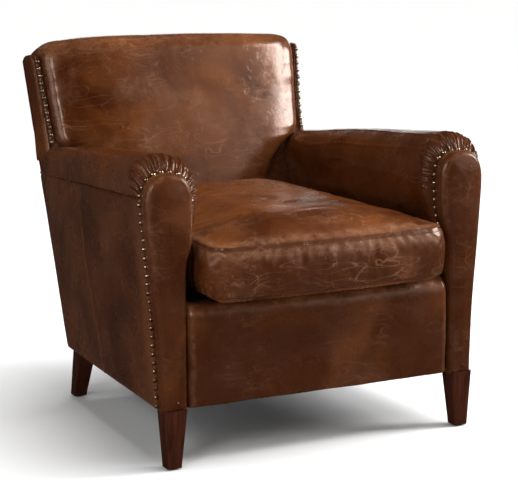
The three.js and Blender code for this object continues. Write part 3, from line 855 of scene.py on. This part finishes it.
def rear_panel():
    """The outside of the back: one hide, pulled flat, with turned edges."""
    z = np.concatenate([[126, 123, 124.5, 129], np.linspace(138, 752, 90), [760, 766, 769, 768]])
    inward = np.concatenate([[16, 5, 1.5, 0.3], np.zeros(90), [0.5, 2.0, 6.0, 12.0]])
    a = np.linspace(-1, 1, 111)
    zz, aa = np.meshgrid(z, a, indexing="ij")
    half = ramp(zz, (BASE_Z, 331), (510, 345), (REAR_TOP, 353)) - 1
    turned = np.clip((np.abs(aa) - 0.97) / 0.03, 0, 1)
    depth = inward[:, None] + 7 * turned**2
    swell = 6 * (1 - aa**4) * np.sin(np.pi * np.clip((zz - BASE_Z) / (REAR_TOP - BASE_Z), 0, 1)) ** 0.6
    y = REAR_Y - depth + swell
    z_up = zz + 0.9 * TOP_CROWN * (1 - aa**4) * ease(600, REAR_TOP, zz)
    grid = xyz(aa * half, raked(y, zz), z_up)
    slack = 1.8 * fractal(grid, 170, 101) * (1 - turned)
    grid = grid + grid_normals(grid) * slack[..., None]
    wear_and_highlights = 0.3 * bump(np.abs(aa), 0.97, 0.02) + 0.25 * ease(0.2, 0.9, fractal(grid, 140, 103))
    return grid_object("rear_hide", grid, HIDE, True, {"wear_and_highlights": wear_and_highlights, "tone_and_shading": np.zeros_like(wear_and_highlights)})


# ---- Apron ----
APRON_KEYS = (
    (-352, 124), (-366, 122), (-376, 122.5), (-380, 126), (-382, 140), (-384.5, 200),
    (-385, 260), (-384, 296), (-380, 316), (-370, 328), (-354, 332), (-332, 331),
)
APRON_HALF = 303.5  # half its width
APRON_RIM = 18  # width of its rounded ends


def apron():
    """The padded rail under the seat, between the arms."""
    path = spline(APRON_KEYS, 110)
    a = np.linspace(-1, 1, 181)
    across = np.sign(a) * (1 - (1 - np.abs(a)) ** 1.4)
    share = np.abs(across)[None, :]
    edge = np.clip((share * APRON_HALF - (APRON_HALF - APRON_RIM)) / APRON_RIM, 0, 1)
    y, z = path[:, None, 0], path[:, None, 1]
    # Lighter along the top edge and the rounded ends: partly rubbed edges, partly painted highlights on the
    # top corners.
    wear_and_highlights = 0.45 * bump(z, 322, 10) + 0.3 * bump(share, 0.965, 0.02)
    y = y + 26 * quarter(edge) * ease(-340, -372, y)
    z = z - 7 * edge**2 * ease(300, 330, z)
    grid = xyz(across * APRON_HALF, y, z)
    slack = 1.2 * fractal(grid, 120, 111) + 0.6 * perlin(grid / (90, 200, 26), 116)
    gather = 0.8 * perlin(grid / (26, 200, 120), 114) * ease(285, 325, z)
    grid = grid - grid_normals(grid) * ((slack + gather) * (1 - edge))[..., None]
    return grid_object("apron_hide", grid, HIDE, False, {"wear_and_highlights": wear_and_highlights, "tone_and_shading": np.full_like(wear_and_highlights, -0.1)})


# ---- Seat cushion ----
# The counts of the cushion's grid, half its width in front and at the back, and its other measures.
CUSHION = {
    "columns": 80, "rows": 96, "layers": 16, "half": 267, "half_rear": 255, "half_length": 322,
    "low": 334, "high": 449, "front": -441, "rear": 204, "crown": 27, "belly": 5,
}
# How the cushion's cover behaves as it fills.
CLOTH = {
    "quality": 5, "mass": 0.35, "tension_stiffness": 18, "compression_stiffness": 18,
    "shear_stiffness": 9, "bending_stiffness": 0.35, "air_damping": 4, "shrink_min": -0.02,
}


def rounded(u, v, half, length, radius):
    """Maps a square onto a rectangle with round corners, as offsets from its middle."""
    x, y = u * half, v * length
    over_x = np.clip(np.abs(x) - (half - radius), 0, None) / radius
    over_y = np.clip(np.abs(y) - (length - radius), 0, None) / radius
    moved_x = over_x * np.sqrt(1 - over_y**2 / 2)
    moved_y = over_y * np.sqrt(1 - over_x**2 / 2)
    x = x + np.sign(x) * radius * (moved_x - over_x)
    y = y + np.sign(y) * radius * (moved_y - over_y)
    return x / half, y / length


def cushion_point(u, v, w):
    """A point of the cut cushion: u across, v front to back and w upwards, each from -1 to 1."""
    ring = np.maximum(np.abs(u), np.abs(v))
    belly = CUSHION["belly"] * np.where(ring > 0.999, 1 - w * w, 0)
    radius = np.where(v < 0, 44, 30)
    u, v = rounded(u, v, CUSHION["half"], CUSHION["half_length"], radius)
    half = lerp(CUSHION["half"], CUSHION["half_rear"], (v + 1) / 2) - 5 * (1 - v * v)
    x = u * (half + belly)
    z = lerp(CUSHION["low"], CUSHION["high"], (w + 1) / 2)
    rim = ease(0.86, 1.0, ring) * ease(0.5, -0.8, v)
    z = z + 15 * rim * (1 - w) / 2
    front = CUSHION["front"] - 9 * (1 - u * u) - belly
    rear = CUSHION["rear"] + 0.26 * (z - 332) + 8 * (1 - u * u)
    y = lerp(front, rear, (v + 1) / 2)
    crown = np.clip(1 - u**4, 0, 1) ** 0.7 * np.clip(1 - v**4, 0, 1) ** 0.6
    z = z + np.where(w > 0.999, CUSHION["crown"] * crown, 0)
    return xyz(x, y, z)


def cushion_cut():
    """The cushion's closed surface, as grids on the six sides of a block."""
    counts = (CUSHION["columns"], CUSHION["rows"], CUSHION["layers"])
    index, places, faces = {}, [], []

    def vertex(i, j, k):
        key = (i, j, k)
        if key not in index:
            index[key] = len(places)
            places.append(key)
        return index[key]

    for axis in range(3):
        one, two = [c for c in range(3) if c != axis]
        for end in (0, counts[axis]):
            for p in range(counts[one]):
                for q in range(counts[two]):
                    ring = []
                    for dp, dq in ((0, 0), (1, 0), (1, 1), (0, 1)):
                        key = [0, 0, 0]
                        key[axis], key[one], key[two] = end, p + dp, q + dq
                        ring.append(vertex(*key))
                    outward = (end > 0) != (axis == 1)
                    faces.append(ring if outward else ring[::-1])
    places = np.array(places, float)
    u, v, w = (2 * places[:, c] / counts[c] - 1 for c in range(3))
    return cushion_point(u, v, w), faces, (u, v, w), index


def simulate(piece, pinned, frames, pressure):
    """Fills a closed cloth with air while its pinned points stay put, and keeps the result."""
    group = piece.vertex_groups.new(name="pinned")
    for i, weight in enumerate(pinned):
        if weight > 0:
            group.add([i], float(weight), "REPLACE")
    cloth = piece.modifiers.new("Cloth", "CLOTH")
    for key, value in CLOTH.items():
        setattr(cloth.settings, key, value)
    cloth.settings.use_pressure = True
    cloth.settings.uniform_pressure_force = pressure
    cloth.settings.vertex_group_mass = group.name
    cloth.settings.effector_weights.gravity = 0
    cloth.collision_settings.use_collision = False
    cloth.point_cache.frame_start = 1
    cloth.point_cache.frame_end = frames
    scene = bpy.context.scene
    for number in range(1, frames + 1):
        scene.frame_set(number)
    done = piece.evaluated_get(bpy.context.evaluated_depsgraph_get()).to_mesh()
    points = np.empty(len(done.vertices) * 3)
    done.vertices.foreach_get("co", points)
    piece.modifiers.remove(cloth)
    scene.frame_set(1)
    return points.reshape(-1, 3) / MM


def ring_keys(layer):
    """The grid keys round the cushion at one height, and the keys one row inside them."""
    columns, rows = CUSHION["columns"], CUSHION["rows"]
    outer = [(i, 0) for i in range(columns)] + [(columns, j) for j in range(rows)]
    outer += [(i, rows) for i in range(columns, 0, -1)] + [(0, j) for j in range(rows, 0, -1)]
    keys = [(i, j, layer) for i, j in outer]
    inner = [(min(max(i, 1), columns - 1), min(max(j, 1), rows - 1), layer) for i, j in outer]
    return keys, inner


def seat_cushion():
    """The loose cushion, and the paths of its stitches beside the seams."""
    points, faces, (u, v, w), index = cushion_cut()
    edge = np.maximum(np.abs(u), np.abs(v))
    on_top = w > 0.999
    upright = (edge > 0.999) & (np.abs(w) < 0.999)
    seam = (np.abs(w) > 0.999) & (edge > 0.999)
    wear_and_highlights = np.where(on_top, 0.4 * bump(edge, 0.95, 0.03), np.where(upright, 0.3 * bump(w, 0.75, 0.2), 0))
    wear_and_highlights = np.where(seam, 0.0, wear_and_highlights)
    # The seam rings are painted dark: painted shade in their drawn-in grooves.
    tone_and_shading = np.where(seam, -0.35, np.where(upright, -0.12, 0.02))
    piece = mesh_object("seat_cushion", points, faces, SEAT_HIDE, {"wear_and_highlights": wear_and_highlights, "tone_and_shading": tone_and_shading})
    pinned = np.where(seam | (w < -0.999), 1.0, 0.0)
    move = simulate(piece, pinned, frames=20, pressure=2.6) - points
    far = np.linalg.norm(move, axis=1)
    limit = np.where(on_top, 24.0, 10.0)
    points = points + move * (np.minimum(far, limit) / np.maximum(far, 1e-6))[:, None]

    # Years of sitting leave the top dented and the band slack.
    dents = 2.4 * bump(perlin(points / (150, 80, 120), 133), 0.12, 0.13) + 1.4 * fractal(points, 120, 135, 2)
    points[:, 2] -= np.where(on_top, dents * (1 - ease(0.8, 1.0, edge)), 0)
    slack = 3.0 * fractal(points / (1, 1, 0.7), 62, 137)
    points[:, 1] += np.where(upright & (v < -0.9), slack * (1 - np.abs(w)) ** 0.6, 0)

    # The seams are drawn in by their stitching.
    layers = CUSHION["layers"]
    centre = np.array([0, -120, 395.0])
    for layer, drawn in ((layers, 4.5), (0, 3.0)):
        ring = [index[key] for key in ring_keys(layer)[0]]
        inward = centre - points[ring]
        inward[:, 2] *= 3
        points[ring] += drawn * unit(inward)
    piece.data.vertices.foreach_set("co", (points * MM).ravel())
    piece.data.update()
    smoother = piece.modifiers.new("Subdivision", "SUBSURF")
    smoother.levels = smoother.render_levels = 1

    rows = []
    for name, layer, step, share in (
        ("top_stitches", layers, 0, 0.62),
        ("band_stitches", layers, -1, 0.66),
        ("low_stitches", 0, 1, 0.6),
    ):
        keys, inner = ring_keys(layer)
        beside = inner if step == 0 else [(i, j, k + step) for i, j, k in keys]
        seam_points = points[[index[key] for key in keys]]
        path = lerp(seam_points, points[[index[key] for key in beside]], share)
        rows.append((name, np.vstack([path, path[:1]])))
    return piece, rows


def settle(path, piece, lift):
    """Moves a path onto a piece's finished surface, and gives the outward direction along it."""
    evaluated = piece.evaluated_get(bpy.context.evaluated_depsgraph_get())
    found = [evaluated.closest_point_on_mesh(Vector(p * MM)) for p in path]
    normals = np.array([hit[2] for hit in found])
    return np.array([hit[1] for hit in found]) / MM + lift * normals, normals


# ---- Hidden pieces ----
# Each sheet: half widths in front and behind, front, rear, height, sag; then its flat size in metres.
SHEETS = (
    ("dust", ((350, 312), -334, 230, 122.9, 4), (0.662, 0.565)),
    ("deck", ((306, 300), -330, 242, 326, 3), (0.606, 0.573)),
)


def front_board(side):
    """The shaped board inside the front of the arm."""
    outline = spline(PANEL_OUTLINE, 120)
    centre = np.array([ARM_MIDDLE, 380.0])
    shrunk = centre + (outline - centre) * np.array([0.86, 0.975])
    rows = []
    for scale, y in ((0.0, -347), (0.97, -347), (1.0, -345.5), (1.0, -320.5), (0.97, -319), (0.0, -319)):
        at = centre + (shrunk - centre) * scale
        rows.append(xyz(at[:, 0], y, at[:, 1]))
    grid = np.array(rows)
    grid = beside(grid, grid[:, :1])
    return grid_object("front_board_" + SIDE[side], mirror(grid, side), HARDWOOD, side > 0)


def tight_sheet(name, half, front, rear, z, sag):
    """A sheet of cloth tacked round its edges, a little slack in the middle."""
    t = np.linspace(-1, 1, 49)
    v, u = np.meshgrid(t, t, indexing="ij")
    y = lerp(front, rear, (v + 1) / 2)
    x = u * lerp(half[0], half[1], (v + 1) / 2)
    slack = sag * (1 - u**2) * (1 - v**2) * (1 + 0.3 * perlin(xyz(u * 3, v * 3, 0), 121))
    pull = 0.5 * np.sin(34 * u) * np.abs(v) ** 8 + 0.5 * np.sin(30 * v) * np.abs(u) ** 8
    return grid_object(name, xyz(x, y, z - slack + pull), BLACK_CLOTH)


# ---- Assembly ----
def place(piece, slot, *replaced, padding=None):
    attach(piece, "root")
    if replaced:
        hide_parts(*replaced)


for side, name in SIDE.items():
    place(arm_cover(side), "leather", "arm_cover_" + name, "arm_pad_" + name, padding=0.8)
    place(arm_front(side), "leather", "arm_front_panel_" + name, padding=0.7)
    place(outside_arm(side), "leather", "outside_arm_panel_" + name)
    place(arm_nails(side), "nail_brass")
    place(side_panel(side), "leather", "back_side_panel_" + name)
    place(trench(side), "leather")
    place(crevice(side), "leather")
    place(back_nails(side), "nail_brass")
place(back_hide(), "leather", "inside_back_cover", "back_pad", padding=0.85)
place(rear_panel(), "leather", "outside_back_panel")
place(apron(), "leather", "apron_cover", "apron_pad", padding=0.7)
cushion, stitch_rows = seat_cushion()
place(cushion, "seat_leather", "cushion_cover", "cushion_core", padding=0.75)
bpy.context.view_layer.update()
for name, path in stitch_rows:
    place(stitches("cushion_" + name, *settle(path, cushion, 0.25)), "thread")
for side, name in SIDE.items():
    place(front_board(side), "hardwood", "front_post_" + name)
for name, measures, flat in SHEETS:
    piece = tight_sheet(name + "_sheet", *measures)
    place(piece, "black_cloth", name + "_cover")

PAINTS = {
    "hardwood": HARDWOOD,
    "leg_wood": LEG_WOOD,
    "spring_steel": STEEL,
    "black_cloth": BLACK_CLOTH,
    "padding": PADDING,
    "glide_nylon": NYLON,
    "leather": HIDE,
    "seat_leather": SEAT_HIDE,
}
for part in frame["record"]["subparts"]:
    node = nodes[part["node"]]
    for socket in node.material_slots:
        socket.material = PAINTS[part["material_slot"]]
for end, side in itertools.product(("front", "rear"), ("left", "right")):
    bevel = nodes[end + "_leg_" + side].modifiers.new("Bevel", "BEVEL")
    bevel.width = 0.0016
    bevel.segments = 3


# ---- Floor, light and camera ----
def area_light(name, where, aim, size, power):
    """A softbox that shines from one place towards another, and is not seen itself."""
    data = bpy.data.lights.new(name, "AREA")
    data.shape = "RECTANGLE"
    data.size, data.size_y = size
    data.energy = power
    lamp = new_object(name, data)
    lamp.location = where
    lamp.visible_camera = False
    lamp.rotation_euler = (Vector(aim) - Vector(where)).to_track_quat("-Z", "Y").to_euler()


FLOOR_PAINT = Nodes("floor").surface(
    {"Base Color": (0.93, 0.93, 0.93, 1), "Roughness": 0.9, "Specular IOR Level": 0.0}
)
FLOOR_REACH = 60000
corners = [(x * FLOOR_REACH, y * FLOOR_REACH, 0) for x, y in ((-1, -1), (1, -1), (1, 1), (-1, 1))]
floor = mesh_object("floor", corners, [(0, 1, 2, 3)], FLOOR_PAINT, smooth=False)
floor.visible_glossy = False

world = bpy.data.worlds.new("studio")
bpy.context.scene.world = world
world.use_nodes = True
sky = world.node_tree.nodes["Background"].inputs
sky["Color"].default_value = (1, 0.93, 0.87, 1)
sky["Strength"].default_value = 0.035

sun = bpy.data.lights.new("overhead", "SUN")
sun.energy = 3.4
sun.angle = math.radians(52)
overhead = new_object("overhead", sun)
overhead.visible_glossy = False
overhead.rotation_euler = Vector((-0.3, 0.05, -1)).to_track_quat("-Z", "Y").to_euler()

area_light("key_softbox", (3.15, -1.2, 1.95), (0.25, 0.25, 0.75), (1.05, 1.5), 120)
area_light("right_fill", (2.3, -3.0, 1.7), (0.1, 0, 0.6), (2.0, 2.2), 15)
area_light("left_front_softbox", (-2.7, -2.6, 2.1), (-0.2, 0, 0.5), (1.0, 1.0), 34)
area_light("left_fill", (-3.3, -0.6, 1.6), (-0.3, 0, 0.4), (1.6, 2.0), 24)
area_light("rear_softbox", (2.25, 3.4, 0.95), (0.1, 0, 0.6), (3.4, 1.1), 16)

# The camera's lens in millimetres, its distance in metres, and its sideways and upward shift.
CAMERA_LENS, CAMERA_DISTANCE = 124.0, 3.923
CAMERA_SHIFT = (0.0071429, -0.0167954)
CAMERA_AZIMUTH, CAMERA_ELEVATION, CAMERA_ROLL = map(math.radians, (-25.44, 9.98, -0.83))
CAMERA_TARGET = np.array([0, -0.065, 0.40])

camera_data = bpy.data.cameras.new("camera")
camera = new_object("camera", camera_data)
bpy.context.scene.camera = camera
camera_data.lens = CAMERA_LENS
camera_data.sensor_width = 36.0
camera_data.clip_end = 200
camera_data.shift_x, camera_data.shift_y = CAMERA_SHIFT
level = math.cos(CAMERA_ELEVATION)
away = np.array(
    [math.sin(CAMERA_AZIMUTH) * level, -math.cos(CAMERA_AZIMUTH) * level, math.sin(CAMERA_ELEVATION)]
)
rightward = unit(np.cross((0, 0, 1), away))
upward = np.cross(away, rightward)
rolled = (
    math.cos(CAMERA_ROLL) * rightward + math.sin(CAMERA_ROLL) * upward,
    -math.sin(CAMERA_ROLL) * rightward + math.cos(CAMERA_ROLL) * upward,
)
turned = Matrix(np.column_stack([*rolled, away]).tolist()).to_4x4()
turned.translation = Vector(CAMERA_TARGET + CAMERA_DISTANCE * away)
camera.matrix_world = turned

bpy.context.scene.view_settings.view_transform = "Standard"
